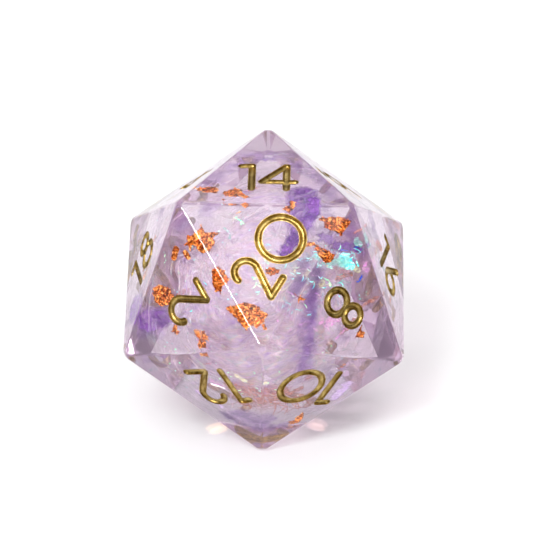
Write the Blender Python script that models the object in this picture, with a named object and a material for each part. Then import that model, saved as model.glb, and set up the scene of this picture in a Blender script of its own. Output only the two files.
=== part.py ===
"""Twenty-sided die cast in clear resin, with gold-painted numerals and foil laid inside it.

Metres, +Z up. The die rests on the face numbered 7. The origin is on the ground under its centre.
The 20 face leans towards -Y. The casting was poured in layers parallel to the 20 face, from the
1 face up, and the foil and film lie flat between the layers.
"""

import math

import bmesh
import bpy
from mathutils import Matrix, Vector

MM = 0.001

# Body of the die
FACE_TO_FACE = 20 * MM
GOLDEN = (1 + math.sqrt(5)) / 2
EDGE = FACE_TO_FACE * math.sqrt(3) / GOLDEN**2
CENTRE = Vector((0, 0, FACE_TO_FACE / 2))
FACE_SLOPE = math.acos(math.sqrt(5) / 3)

# Layers of resin, as the depth of each joint below the 20 face
POUR_DEPTHS = [10.6 * MM, 5.2 * MM, 2.8 * MM, 1.1 * MM]
GAP = 0.02 * MM

# Numeral grooves: a flat-bottomed V, wider at the face than at its floor
GROOVE_DEPTH = 0.38 * MM
GROOVE_HALF_WIDTH = 0.29 * MM
GROOVE_FLOOR_HALF_WIDTH = 0.17 * MM
CUTTER_RISE = 0.15 * MM
PAINT_RECESS = 0.10 * MM

# Steps that round things are made with
RING_STEPS = 18
DEGREES_PER_STEP = 26
CAP_STEPS = 4
SHARPEST_MITRE = 0.2

# Foil and film
FOIL_THICKNESS = 0.20 * MM
FILM_THICKNESS = 0.16 * MM

# Rings of three corners, bottom to top: letters, height and radius in edges, angle of the first
RING_RADIUS = 1 / math.sqrt(3)
RINGS = [
    ("FML", 0, RING_RADIUS, -90),
    ("EKD", RING_RADIUS, GOLDEN * RING_RADIUS, -30),
    ("CHG", GOLDEN * RING_RADIUS, GOLDEN * RING_RADIUS, -90),
    ("BTA", FACE_TO_FACE / EDGE, RING_RADIUS, -30),
]

# Each face's corners, seen from outside: above its numeral, then lower left, then lower right
FACES = {
    20: "ACB",
    18: "GDA",
    16: "HBE",
    14: "TAB",
    12: "FCD",
    10: "FEC",
    8: "EBC",
    6: "HTB",
    4: "GAT",
    2: "DCA",
}
OPPOSITE_CORNER = dict(zip("ABTCGHDEKFML", "MLFKEDHGCTAB"))

# Where the digits of a two-digit numeral stand, and numerals off the middle of their face, in mm
DIGIT_PLACES = {
    10: (-1.65, 0.9),
    11: (-0.4, 1.1),
    12: (-1.45, 0.85),
    13: (-1.15, 0.95),
    14: (-1.1, 0.9),
    15: (-1.15, 0.95),
    16: (-0.7, 1.2),
    17: (-1.15, 0.95),
    18: (-1.2, 0.8),
    19: (-1.15, 1.0),
    20: (-1.9, 1.5),
}
RAISED = {20: -0.5, 8: 0.4, 10: -0.15}
UNDERLINED = (6, 9)
UNDERLINE = [(-0.6, -2.5), (0.6, -2.5)]

# Half the height of a digit's centre line, in mm
TALL = 1.72


def polar(centre, radius, degrees):
    angle = math.radians(degrees)
    return (centre[0] + radius * math.cos(angle), centre[1] + radius * math.sin(angle))


def arc(centre, radius, start, end):
    """Points along an arc, both ends included."""
    steps = max(2, round(abs(end - start) / DEGREES_PER_STEP))
    return [polar(centre, radius, start + (end - start) * i / steps) for i in range(steps + 1)]


def ring(centre, radius):
    """A circle, whose last point is its first."""
    points = [polar(centre, radius, 360 * i / RING_STEPS) for i in range(RING_STEPS)]
    return points + points[:1]


def six():
    """A ring with a straight leg that leaves it on the left and leans to the right."""
    centre = (0, -0.85)
    radius = 0.88
    tip = (0.42, 1.76)
    reach = math.hypot(tip[0] - centre[0], tip[1] - centre[1])
    bearing = math.degrees(math.atan2(tip[1] - centre[1], tip[0] - centre[0]))
    tangent = bearing + math.degrees(math.acos(radius / reach))
    return [ring(centre, radius), [tip, polar(centre, radius, tangent)]]


def half_turned(strokes):
    return [[(-x, -y) for x, y in stroke] for stroke in strokes]


# Centre lines of the ten digits, in mm from the middle of each
DIGITS = {
    "0": [ring((0, 0), 1.68)],
    "1": [[(0, TALL), (0, -TALL)], [(0, TALL), (-0.8, TALL - 0.12)]],
    "2": [
        arc((-0.15, 0.86), 0.88, 168, -33) + [(-0.83, -TALL)],
        [(-0.83, -TALL), (0.88, -TALL)],
    ],
    "3": [arc((0, 0.92), 0.8, 160, -90), arc((0, -0.8), 0.92, 90, -155)],
    "4": [
        [(0.62, TALL), (0.62, -TALL)],
        [(0.62, TALL), (-1.25, -0.68)],
        [(-1.25, -0.68), (1.25, -0.68)],
    ],
    "5": [
        [(-0.6, TALL), (0.75, TALL)],
        [(-0.6, TALL), (-0.7, 0.14)],
        arc((-0.05, -0.7), 1.02, 128, -150),
    ],
    "6": six(),
    "7": [[(-0.95, TALL), (0.95, TALL)], [(0.95, TALL), (-0.35, -TALL)]],
    "8": [ring((0, 1.0), 0.74), ring((0, -0.82), 0.92)],
    "9": half_turned(six()),
}

# Foil and film, each with its place on the layer and its outline, in mm: +X, and up the 20 face.
# The outlines run clockwise.
COPPER_FLAKES = {
    "star": (3, (-4.7, 1.1), [
        (-0.08, 1.15), (0.14, 0.62), (0.58, 0.58), (1.45, 0.5), (0.9, 0.27), (0.9, -0.18),
        (0.78, -0.93), (0.32, -1.0), (-0.17, -0.62), (-0.57, -0.35), (-0.83, -0.93),
        (-0.79, -0.49), (-1.23, -0.18), (-0.92, 0.44), (-0.43, 0.44),
    ]),
    "leaf": (3, (-3.1, -2.0), [
        (-0.65, 0.97), (-0.12, 0.97), (0.14, 0.62), (0.4, 0.13), (0.72, -0.09), (0.36, -0.31),
        (-0.04, -1.06), (-0.52, -0.53), (-0.65, 0.18),
    ]),
    "oval": (3, (-0.95, -4.65), [
        (-1.76, 0.66), (-0.96, 0.84), (-0.57, 0.93), (0.23, 0.75), (0.94, 0.31), (1.29, -0.09),
        (1.03, -0.53), (0.67, -0.93), (-0.12, -1.06), (-0.57, -0.62), (-0.92, -0.09), (-1.63, 0.35),
    ]),
    "wing": (3, (5.3, 2.4), [
        (-1.27, 0.57), (0.05, 0.66), (1.0, 0.6), (0.8, 0.13), (0.5, -0.26), (0.23, -0.71),
        (-0.3, -0.44), (-0.92, -0.26), (-0.92, 0.09), (-1.23, 0.35),
    ]),
    "dart": (3, (4.3, 0.35), [
        (-1.3, 0.45), (-0.92, 0.8), (-0.39, 0.49), (0.23, 0.18), (0.89, -0.18), (0.58, -0.66),
        (-0.04, -0.8), (-0.26, -0.27), (-0.7, 0.38),
    ]),
    "half_moon": (3, (0.65, -1.3), [
        (-0.61, 0.26), (0.67, 0.26), (0.45, -0.14), (0.01, -0.36), (-0.43, -0.23),
    ]),
    "crumb": (3, (2.7, -3.3), [
        (-0.39, 0.27), (0.05, 0.27), (0.45, 0.0), (0.1, -0.2), (-0.39, -0.35),
    ]),
    "curl": (3, (1.8, 3.65), [
        (-0.53, -0.08), (-0.09, 0.27), (0.53, 0.27), (0.35, -0.08), (0.0, -0.43), (-0.22, -0.12),
    ]),
    "bar": (2, (-4.5, 4.9), [
        (-0.92, 0.24), (0.23, 0.42), (0.95, 0.24), (0.85, -0.32), (0.05, -0.32), (-0.83, -0.07),
    ]),
    "branch": (2, (-2.25, 4.45), [
        (-1.05, 0.2), (-0.48, 0.57), (-0.04, 0.94), (0.23, 0.63), (0.58, 0.2), (0.98, -0.3),
        (0.67, -0.6), (0.32, -0.24), (-0.21, -0.3), (-0.83, -0.3),
    ]),
    "patch": (1, (-7.3, -2.0), [
        (-0.9, 0.5), (-0.3, 0.9), (0.6, 0.7), (1.0, 0.1), (0.6, -0.6), (-0.2, -0.9), (-0.8, -0.4),
    ]),
    "chip": (1, (-6.4, -4.65), [
        (-0.05, 0.42), (0.35, 0.2), (0.36, -0.25), (0.0, -0.4), (-0.35, -0.18),
    ]),
    "boot": (1, (-4.1, -5.3), [
        (-0.66, 0.63), (-0.36, 0.87), (0.25, 0.64), (0.76, 0.18), (0.36, -0.18), (0.4, -0.6),
        (-0.1, -0.87), (-0.4, -0.5), (-0.25, 0.0), (-0.56, 0.32),
    ]),
    "spike": (1, (7.1, -4.6), [
        (0.0, 0.75), (0.12, 0.2), (0.42, -0.25), (0.3, -0.5), (-0.1, -0.38), (-0.5, -0.55),
        (-0.4, -0.1), (-0.1, 0.15),
    ]),
    "hook": (0, (2.3, -9.8), [
        (0.5, 0.8), (0.7, 0.1), (0.4, -0.5), (-0.2, -0.7), (-0.6, -0.2), (-0.1, -0.1), (0.1, 0.4),
    ]),
}
FILM_SHARDS = {
    "bright": (2, (5.1, 0.15), [
        (-1.6, 0.25), (-0.4, 0.45), (0.5, 0.6), (1.0, 0.55), (1.1, -0.1), (0.6, -0.6),
        (-0.3, -0.35), (-1.5, 0.0),
    ]),
    "pink": (1, (4.7, -3.6), [
        (-1.0, -0.6), (-0.7, 0.2), (0.3, 0.8), (1.0, 0.6), (0.6, -0.1), (-0.3, -0.7),
    ]),
    "low": (0, (-0.5, -5.6), [
        (-1.6, 0.6), (-0.4, 1.1), (1.0, 0.8), (1.7, -0.1), (0.8, -1.0), (-0.6, -0.8), (-1.5, -0.3),
    ]),
}
VIOLET_WISPS = {
    "high": (1, (2.6, 3.3), [
        (-1.3, -2.3), (-1.1, -0.5), (-1.3, 0.7), (-1.0, 1.9), (0.4, 2.1), (1.5, 1.6),
        (1.35, 0.4), (0.6, -0.4), (-0.1, -2.0),
    ]),
    "tall": (1, (2.75, -4.4), [
        (-0.4, 2.3), (0.35, 2.4), (0.6, 0.8), (0.45, -1.0), (0.1, -2.4), (-0.5, -2.2),
        (-0.6, -0.4), (-0.3, 1.0),
    ]),
    "left": (0, (-7.0, -2.2), [
        (-1.8, 0.2), (-0.6, 1.3), (1.2, 1.0), (2.0, 0.1), (0.9, -0.8), (-0.6, -1.3), (-1.6, -0.9),
    ]),
    "low": (0, (-0.6, -9.2), [
        (-1.9, 0.5), (-0.6, 1.0), (0.9, 0.7), (1.6, -0.1), (0.7, -1.0), (-0.7, -0.9), (-1.6, -0.3),
    ]),
}


def clear_scene():
    for thing in list(bpy.data.objects):
        bpy.data.objects.remove(thing, do_unlink=True)


def make_material(name, colour, roughness, metallic=0.0, transmission=0.0):
    material = bpy.data.materials.new(name)
    material.use_nodes = True
    shader = material.node_tree.nodes["Principled BSDF"]
    shader.inputs["Base Color"].default_value = (*colour, 1)
    shader.inputs["Roughness"].default_value = roughness
    shader.inputs["Metallic"].default_value = metallic
    shader.inputs["Transmission Weight"].default_value = transmission
    return material


def make_object(name, shape, material=None):
    """An object from a bmesh, with its faces turned outwards."""
    bmesh.ops.recalc_face_normals(shape, faces=shape.faces)
    mesh = bpy.data.meshes.new(name)
    shape.to_mesh(mesh)
    shape.free()
    if material:
        mesh.materials.append(material)
    made = bpy.data.objects.new(name, mesh)
    bpy.context.scene.collection.objects.link(made)
    return made


def make_helper(name, shape, matrix, collection=None):
    """A shape that only cuts or joins, and isn't a piece of the die."""
    helper = make_object(name, shape)
    helper.matrix_world = matrix
    helper.hide_render = True
    helper.display_type = "WIRE"
    if collection:
        bpy.context.scene.collection.objects.unlink(helper)
        collection.objects.link(helper)
    return helper


def corner_points():
    corners = {}
    for letters, height, radius, first in RINGS:
        for i, letter in enumerate(letters):
            x, y = polar((0, 0), radius * EDGE, first + 120 * i)
            corners[letter] = Vector((x, y, height * EDGE))
    return corners


def all_faces():
    """The corners of all twenty faces: opposite faces add up to 21."""
    faces = dict(FACES)
    for number, (up, left, right) in FACES.items():
        faces[21 - number] = "".join(OPPOSITE_CORNER[corner] for corner in (up, right, left))
    return faces


def face_frame(corners, letters):
    """The frame at the middle of a face: +Y to the corner above its numeral, +Z outwards."""
    up, left, right = (corners[letter] for letter in letters)
    middle = (up + left + right) / 3
    y_axis = (up - middle).normalized()
    z_axis = (left - up).cross(right - up).normalized()
    x_axis = y_axis.cross(z_axis)
    axes = Matrix((x_axis, y_axis, z_axis)).transposed()
    return Matrix.Translation(middle) @ axes.to_4x4()


def layer_frame(depth):
    """The frame of a layer below the 20 face: +X stays level, +Y runs up the face."""
    tilt = Matrix.Rotation(FACE_SLOPE, 4, "X")
    rise = Matrix.Translation((0, 0, FACE_TO_FACE / 2 - depth))
    return Matrix.Translation(CENTRE) @ tilt @ rise


def beside(points, distance, closed):
    """The path moved to its left by a distance, with mitred corners."""
    count = len(points)
    moved = []
    for i, point in enumerate(points):
        first = i == 0 and not closed
        last = i == count - 1 and not closed
        leaving = (points[(i + 1) % count] - point).normalized()
        arriving = (point - points[i - 1]).normalized()
        if first:
            arriving = leaving
        if last:
            leaving = arriving
        along = (arriving + leaving).normalized()
        across = Vector((-along.y, along.x))
        slant = max(SHARPEST_MITRE, along.dot(leaving))
        moved.append(point + across * distance / slant)
    return moved


def outline(path, half_width):
    """A loop that far round an open path, with round ends."""

    def round_end(tip, heading):
        start = math.degrees(math.atan2(heading.y, heading.x)) + 90
        turns = [start - 180 * i / CAP_STEPS for i in range(CAP_STEPS + 1)]
        return [Vector(polar(tip, half_width, turn)) for turn in turns]

    left = beside(path, half_width, closed=False)[1:-1]
    right = beside(path, -half_width, closed=False)[1:-1]
    last_way = path[-1] - path[-2]
    first_way = path[0] - path[1]
    return left + round_end(path[-1], last_way) + right[::-1] + round_end(path[0], first_way)


def join_loops(shape, first, second):
    count = len(first)
    for i in range(count):
        j = (i + 1) % count
        shape.faces.new((first[i], first[j], second[j], second[i]))


def loop_of(shape, points, height):
    return [shape.verts.new((point.x, point.y, height)) for point in points]


def prism(points, low, high):
    """A closed loop drawn out between two heights. Each height is (height, how far inwards)."""
    shape = bmesh.new()
    loops = [loop_of(shape, beside(points, inset, closed=True), z) for z, inset in (low, high)]
    join_loops(shape, *loops)
    for loop in loops:
        shape.faces.new(loop)
    return shape


def stroke_shape(path, low, high):
    """A stroke of a digit between two sections, each (height, half width)."""
    points = [Vector(place) * MM for place in path]
    shape = bmesh.new()
    if path[0] != path[-1]:
        loops = [loop_of(shape, outline(points, half), z) for z, half in (low, high)]
        join_loops(shape, *loops)
        for loop in loops:
            shape.faces.new(loop)
        return shape
    circle = points[:-1]
    around = [
        loop_of(shape, beside(circle, side * half, closed=True), z)
        for side, (z, half) in ((1, low), (1, high), (-1, high), (-1, low))
    ]
    for i, loop in enumerate(around):
        join_loops(shape, loop, around[(i + 1) % len(around)])
    return shape


def groove_half_width(height):
    """Half the groove's width at a height from its face, which is negative inside the die."""
    spread = (GROOVE_HALF_WIDTH - GROOVE_FLOOR_HALF_WIDTH) / GROOVE_DEPTH
    return GROOVE_HALF_WIDTH + spread * height


def groove_shape(path):
    low = (-GROOVE_DEPTH, GROOVE_FLOOR_HALF_WIDTH)
    high = (CUTTER_RISE, groove_half_width(CUTTER_RISE))
    return stroke_shape(path, low, high)


def paint_shape(path):
    heights = (GAP - GROOVE_DEPTH, -PAINT_RECESS)
    low, high = ((height, groove_half_width(height) - GAP) for height in heights)
    return stroke_shape(path, low, high)


def add_boolean(target, operation, thing=None, collection=None):
    modifier = target.modifiers.new(operation.title(), "BOOLEAN")
    modifier.operation = operation
    modifier.solver = "EXACT"
    if collection:
        modifier.operand_type = "COLLECTION"
        modifier.collection = collection
    else:
        modifier.object = thing


def add_paint(name, strokes, matrix, cutters, material):
    """The paint of one digit or mark, and the groove that it fills."""
    for i, path in enumerate(strokes):
        make_helper(f"{name}_groove_{i + 1}", groove_shape(path), matrix, cutters)
        if i == 0:
            paint = make_object(name, paint_shape(path), material)
            paint.matrix_world = matrix
        else:
            helper = make_helper(f"{name}_stroke_{i + 1}", paint_shape(path), matrix)
            add_boolean(paint, "UNION", helper)


def add_numerals(corners, cutters, material):
    for number, letters in sorted(all_faces().items()):
        frame = face_frame(corners, letters)
        digits = str(number)
        places = DIGIT_PLACES.get(number, (0,))
        names = ("tens", "units") if len(digits) == 2 else ("paint",)
        for digit, place, word in zip(digits, places, names):
            shift = Matrix.Translation((place * MM, RAISED.get(number, 0) * MM, 0))
            add_paint(f"numeral_{number}_{word}", DIGITS[digit], frame @ shift, cutters, material)
        if number in UNDERLINED:
            add_paint(f"numeral_{number}_underline", [UNDERLINE], frame, cutters, material)


def add_inclusions(kind, table, thickness, cutters, material):
    """Foil or film on the joints between the layers, and the pocket round each piece."""
    for name, (layer, place, points) in table.items():
        loop = [Vector(point) * MM for point in points]
        x, y = place
        matrix = layer_frame(POUR_DEPTHS[layer]) @ Matrix.Translation((x * MM, y * MM, 0))
        half = thickness / 2
        made = make_object(f"{kind}_{name}", prism(loop, (-half, 0), (half, 0)), material)
        made.matrix_world = matrix
        reach = half + GAP
        pocket = prism(loop, (-reach, GAP), (reach, GAP))
        make_helper(f"{kind}_{name}_pocket", pocket, matrix, cutters)


def cut_away(shape, matrix, keep_above):
    """The shape on one side of a layer's plane, with its cut closed."""
    point = matrix.translation
    normal = matrix.to_3x3().col[2]
    everything = shape.verts[:] + shape.edges[:] + shape.faces[:]
    cut = bmesh.ops.bisect_plane(
        shape,
        geom=everything,
        plane_co=point,
        plane_no=normal,
        clear_inner=keep_above,
        clear_outer=not keep_above,
    )
    edges = [item for item in cut["geom_cut"] if isinstance(item, bmesh.types.BMEdge)]
    bmesh.ops.edgeloop_fill(shape, edges=edges)


def add_pours(corners, cutters, material):
    """The body, as the layers of resin from the 1 face up to the 20 face."""
    bounds = [None, *POUR_DEPTHS, None]
    for i, (floor, ceiling) in enumerate(zip(bounds, bounds[1:])):
        shape = bmesh.new()
        for corner in corners.values():
            shape.verts.new(corner)
        bmesh.ops.convex_hull(shape, input=shape.verts[:])
        if floor:
            cut_away(shape, layer_frame(floor - GAP / 2), keep_above=True)
        if ceiling:
            cut_away(shape, layer_frame(ceiling + GAP / 2), keep_above=False)
        pour = make_object(f"resin_pour_{i + 1}", shape, material)
        add_boolean(pour, "DIFFERENCE", collection=cutters)


def main():
    clear_scene()
    resin = make_material("clear_resin", (0.87, 0.82, 0.92), 0.05, transmission=0.9)
    gold = make_material("gold_paint", (0.72, 0.50, 0.14), 0.3, metallic=0.9)
    copper = make_material("copper_foil", (0.86, 0.42, 0.18), 0.35, metallic=1.0)
    film = make_material("iridescent_film", (0.55, 0.85, 0.85), 0.15, metallic=0.3)
    violet = make_material("violet_film", (0.45, 0.28, 0.72), 0.25, transmission=0.4)
    cutters = bpy.data.collections.new("cutters")
    bpy.context.scene.collection.children.link(cutters)
    corners = corner_points()
    add_numerals(corners, cutters, gold)
    add_inclusions("copper_flake", COPPER_FLAKES, FOIL_THICKNESS, cutters, copper)
    add_inclusions("film_shard", FILM_SHARDS, FILM_THICKNESS, cutters, film)
    add_inclusions("violet_wisp", VIOLET_WISPS, FILM_THICKNESS, cutters, violet)
    add_pours(corners, cutters, resin)


main()
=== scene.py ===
"""The resin die as it looks.

A clear lilac casting, gold-lined numerals, copper foil and iridescent film.
"""

import math
import random

import bmesh
import bpy
from mathutils import Matrix, Vector, noise
from mathutils.bvhtree import BVHTree


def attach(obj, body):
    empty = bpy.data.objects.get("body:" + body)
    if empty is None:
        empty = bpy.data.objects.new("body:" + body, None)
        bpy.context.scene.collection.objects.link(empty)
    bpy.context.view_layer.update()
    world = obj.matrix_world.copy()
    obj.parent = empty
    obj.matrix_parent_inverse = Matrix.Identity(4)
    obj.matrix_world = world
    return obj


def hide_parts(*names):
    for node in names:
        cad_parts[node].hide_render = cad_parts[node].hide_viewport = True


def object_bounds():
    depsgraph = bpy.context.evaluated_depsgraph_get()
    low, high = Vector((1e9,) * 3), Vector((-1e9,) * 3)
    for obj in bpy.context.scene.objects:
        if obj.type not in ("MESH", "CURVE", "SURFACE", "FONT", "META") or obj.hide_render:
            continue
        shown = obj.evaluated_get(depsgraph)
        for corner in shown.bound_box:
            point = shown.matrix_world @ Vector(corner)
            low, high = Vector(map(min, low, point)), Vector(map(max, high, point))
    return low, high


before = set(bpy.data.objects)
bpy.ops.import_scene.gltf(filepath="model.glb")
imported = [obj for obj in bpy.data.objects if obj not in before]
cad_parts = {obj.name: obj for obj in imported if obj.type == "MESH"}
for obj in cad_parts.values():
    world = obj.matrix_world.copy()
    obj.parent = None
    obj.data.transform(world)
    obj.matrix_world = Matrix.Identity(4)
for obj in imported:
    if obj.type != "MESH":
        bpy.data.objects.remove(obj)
cad_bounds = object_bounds()

MM = 0.001

# Body, from the frame
FACE_TO_FACE = cad_bounds[1].z - cad_bounds[0].z
GOLDEN = (1 + math.sqrt(5)) / 2
EDGE = FACE_TO_FACE * math.sqrt(3) / GOLDEN**2
CENTRE = Vector((0, 0, FACE_TO_FACE / 2))
FACE_SLOPE = math.acos(math.sqrt(5) / 3)
CORNER_ROUNDING = 0.45 * MM
EDGE_ROUNDING = 0.15 * MM
EDGE_SEGMENTS = 5

# Groove of the numerals and its gold lining, which grips the resin a little
GROOVE_HALF_WIDTH = 0.29 * MM
GROOVE_DEPTH = 0.37 * MM
LINING_GRIP = 0.012 * MM
LINING_DROP = 0.012 * MM
HOLLOW_HALF_WIDTH = 0.25 * MM
HOLLOW_DEPTH = 0.27 * MM
CUTTER_RISE = 0.15 * MM
RING_STEPS = 72
DEGREES_PER_STEP = 6
CAP_STEPS = 12
SECTION_STEPS = 8
SECTION_SWEEP = math.radians(86)
SHARPEST_MITRE = 0.2
SMOOTH_ANGLE = math.radians(32)
LEAF_SMOOTH_ANGLE = math.radians(25)

# Rings of corners from the floor up: their letters, height, radius and first bearing, in edges
# and degrees
RING_RADIUS = 1 / math.sqrt(3)
RINGS = [
    ("FML", 0, RING_RADIUS, -90),
    ("EKD", RING_RADIUS, GOLDEN * RING_RADIUS, -30),
    ("CHG", GOLDEN * RING_RADIUS, GOLDEN * RING_RADIUS, -90),
    ("BTA", FACE_TO_FACE / EDGE, RING_RADIUS, -30),
]
# The corners above, left and right of each numeral. The other ten faces lie opposite.
FACES = {
    20: "ACB",
    18: "GDA",
    16: "HBE",
    14: "TAB",
    12: "FCD",
    10: "FEC",
    8: "EBC",
    6: "HTB",
    4: "GAT",
    2: "DCA",
}
OPPOSITE_CORNER = dict(zip("ABTCGHDEKFML", "MLFKEDHGCTAB"))
# Where the middles of the tens and units stand on a face, in millimetres
DIGIT_PLACES = {
    10: (-1.65, 0.9),
    11: (-0.4, 1.1),
    12: (-1.45, 0.85),
    13: (-1.15, 0.95),
    14: (-1.1, 0.9),
    15: (-1.15, 0.95),
    16: (-0.7, 1.2),
    17: (-1.15, 0.95),
    18: (-1.2, 0.8),
    19: (-1.15, 1.0),
    20: (-1.9, 1.5),
}
# How far a numeral's middle lies above the middle of its face, in millimetres
RAISED = {20: -0.5, 8: 0.4, 10: -0.15}
UNDERLINED = (6, 9)
UNDERLINE = [(-0.6, -2.5), (0.6, -2.5)]
# Half of a digit's height, in millimetres
TALL = 1.72

# Foil and film, with how ragged, how crumpled and how finely folded each kind of sheet is
LEAF_STEP = 0.04 * MM
LEAF_THICKNESS = 0.02 * MM
RAG_SIZE = 0.3 * MM
FOIL_LEAF = (0.2 * MM, 0.2 * MM, 0.4 * MM)
FOIL_CRUMB = (0.06 * MM, 0.08 * MM, 0.2 * MM)
FILM_SHEET = (0.15 * MM, 0.2 * MM, 0.9 * MM)
FILM_SLIVER = (0.14 * MM, 0.15 * MM, 0.5 * MM)
VIOLET_SHEET = (0.1 * MM, 0.25 * MM, 1.5 * MM)
VIOLET_STREAK = (0.35 * MM, 0.2 * MM, 1.0 * MM)
FIRST_SLIVER_SEED = 50
THREAD_STEPS = 6
THREAD_HALF_WIDTHS = (0.015, 0.045)
# Mean and spread of the way a thread sets out and of its turn at each step, in radians, and
# the spread of its rise at each step, in millimetres
THREAD_HEADING = (-0.4, 0.6)
THREAD_BEND = (0, 0.25)
THREAD_RISE = 0.03
SPECKS_PER_COLOUR = 26
SPECK_SIZES = (0.03 * MM, 0.09 * MM)
SPECK_DEPTH = 1.4 * MM
SPECK_REACH = 9.6 * MM
SPECK_SPAN = (0.45, 0.95)
VEIL_CRUMPLE = 0.25 * MM
VEIL_FOLD = 2.2 * MM

# Pearly veils in the core: name, depth under the faces, reach towards the corners,
# direction of the streaks, and alpha between and along them
VEILS = [
    ("pearl_veil_outer", 2.2 * MM, 9.0 * MM, (0.2, 0.4, 0.8), 0.0, 0.2),
    ("pearl_veil_middle", 5.6 * MM, 6.2 * MM, (0.9, 0.1, 2.1), 0.15, 0.6),
    ("pearl_veil_inner", 6.8 * MM, 4.0 * MM, (0.5, 1.2, 0.4), 0.4, 0.8),
]

# Iridescent film: its colours at the stops, alpha between and along its streaks, and how strongly
# it gives off its own colour as light, a painted stand-in for its bright reflections
FILM_STOPS = (0.32, 0.46, 0.56, 0.68)
FILM_COLOURS = {
    "cyan": (
        [(0.05, 0.50, 0.80), (0.05, 0.80, 0.72), (0.35, 1.00, 0.85), (0.95, 1.00, 0.98)],
        (0.45, 1.0), 0.8,
    ),
    "teal": (
        [(0.20, 0.45, 0.55), (0.30, 0.68, 0.60), (0.45, 0.78, 0.64), (0.60, 0.66, 0.82)],
        (0.2, 0.7), 0.2,
    ),
    "green": (
        [(0.10, 0.80, 0.45), (0.25, 0.95, 0.55), (0.70, 0.98, 0.50), (0.75, 0.95, 0.80)],
        (0.6, 1.0), 0.7,
    ),
    "blue": (
        [(0.01, 0.03, 0.45), (0.01, 0.06, 0.60), (0.02, 0.12, 0.75), (0.05, 0.35, 0.80)],
        (0.9, 1.0), 0.1,
    ),
    "pink": (
        [(0.75, 0.30, 0.85), (0.95, 0.40, 0.85), (0.95, 0.55, 0.75), (0.98, 0.75, 0.85)],
        (0.05, 0.6), 0.25,
    ),
    "salmon": (
        [(0.28, 0.07, 0.04), (0.50, 0.17, 0.11), (0.68, 0.30, 0.22), (0.84, 0.52, 0.42)],
        (0.15, 0.85), 0.04,
    ),
    "lilac": (
        [(0.70, 0.52, 0.90), (0.76, 0.60, 0.93), (0.84, 0.70, 0.95), (0.92, 0.84, 0.98)],
        (0.5, 0.8), 0.2,
    ),
    # Near-white film that glows strongly, used only for a painted caustic: lamp light gathered by
    # the casting
    "cream": (
        [(0.95, 0.72, 0.50), (1.00, 0.92, 0.82), (1.00, 1.00, 1.00), (0.85, 0.85, 1.00)],
        (0.7, 1.0), 0.9,
    ),
    "pearl": (
        [(0.72, 0.62, 0.80), (0.90, 0.82, 0.92), (0.84, 0.94, 0.95), (1.00, 0.97, 1.00)],
        (0.05, 0.6), 0.08,
    ),
    "yellow": (
        [(0.80, 0.75, 0.30), (0.88, 0.86, 0.45), (0.80, 0.90, 0.60), (0.92, 0.90, 0.75)],
        (0.1, 0.7), 0.3,
    ),
}
# Faint violet pigment that drifted through the resin, each a ribbon as the slivers below are
VIOLET_STREAKS = {
    "tip": (8.0, 0.45, (-2.2, 8.6), (-0.3, 9.0), (1.9, 8.7)),
    "ridge_left": (9.0, 0.75, (-4.6, 4.9), (-3.4, 6.4), (-2.0, 7.6)),
    "ridge_right": (9.0, 0.80, (4.9, 4.2), (3.9, 6.0), (2.2, 7.4)),
    "brow": (9.5, 0.70, (2.6, 3.4), (4.6, 3.8), (5.6, 3.0)),
    "left_stem": (6.0, 0.25, (-3.3, -4.2), (-3.2, -6.2)),
    "stem_foot": (5.4, 0.95, (2.6, -1.8), (2.2, -3.8), (2.5, -5.4), (2.9, -6.8)),
    "swirl": (14.2, 0.70, (-4.2, -1.2), (-2.2, 1.2), (0.4, 2.4)),
    "curl": (15.2, 0.60, (2.4, 0.9), (3.4, -1.8)),
    "flare": (9.0, 0.45, (-8.1, -1.5), (-7.0, -2.3), (-5.8, -2.7)),
}
# Pale lilac film under the lower faces, glowing a little: painted light, brightening those faces as
# light through the casting would
LILAC_PAINTED_LIGHT = {
    "window": (12.0, 0.60, (4.8, -6.6), (5.3, -5.7), (5.7, -5.0)),
    "slope": (12.0, 0.35, (-4.2, -6.0), (-3.4, -6.6), (-2.4, -7.4)),
}
# Denser violet
VIOLET_TRAILS = {
    "stem": (5.0, 0.80, (2.9, 0.2), (2.75, -0.7), (2.8, -1.6), (2.5, -2.6)),
    "keel": (12.0, 0.65, (-2.4, -8.5), (-1.2, -9.2), (0.0, -9.5), (1.4, -9.3)),
    "cheek": (12.0, 0.40, (-8.2, -3.0), (-7.2, -3.1), (-6.2, -3.1)),
}
# Violet as dense as the patches of film
VIOLET_BANDS = {
    "band": (2.0, 0.60, (3.6, 4.0), (3.5, 3.3), (3.1, 2.5), (2.2, 1.4), (1.4, 0.3)),
    "right_eye": (4.2, 0.55, (4.3, 2.0), (5.5, 1.9), (6.4, 1.8)),
    "brow_spot": (8.0, 0.32, (-0.9, 8.2), (0.5, 8.3)),
}

SHARD_COLOURS = {"bright": "teal", "pink": "pink", "low": "salmon"}

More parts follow.
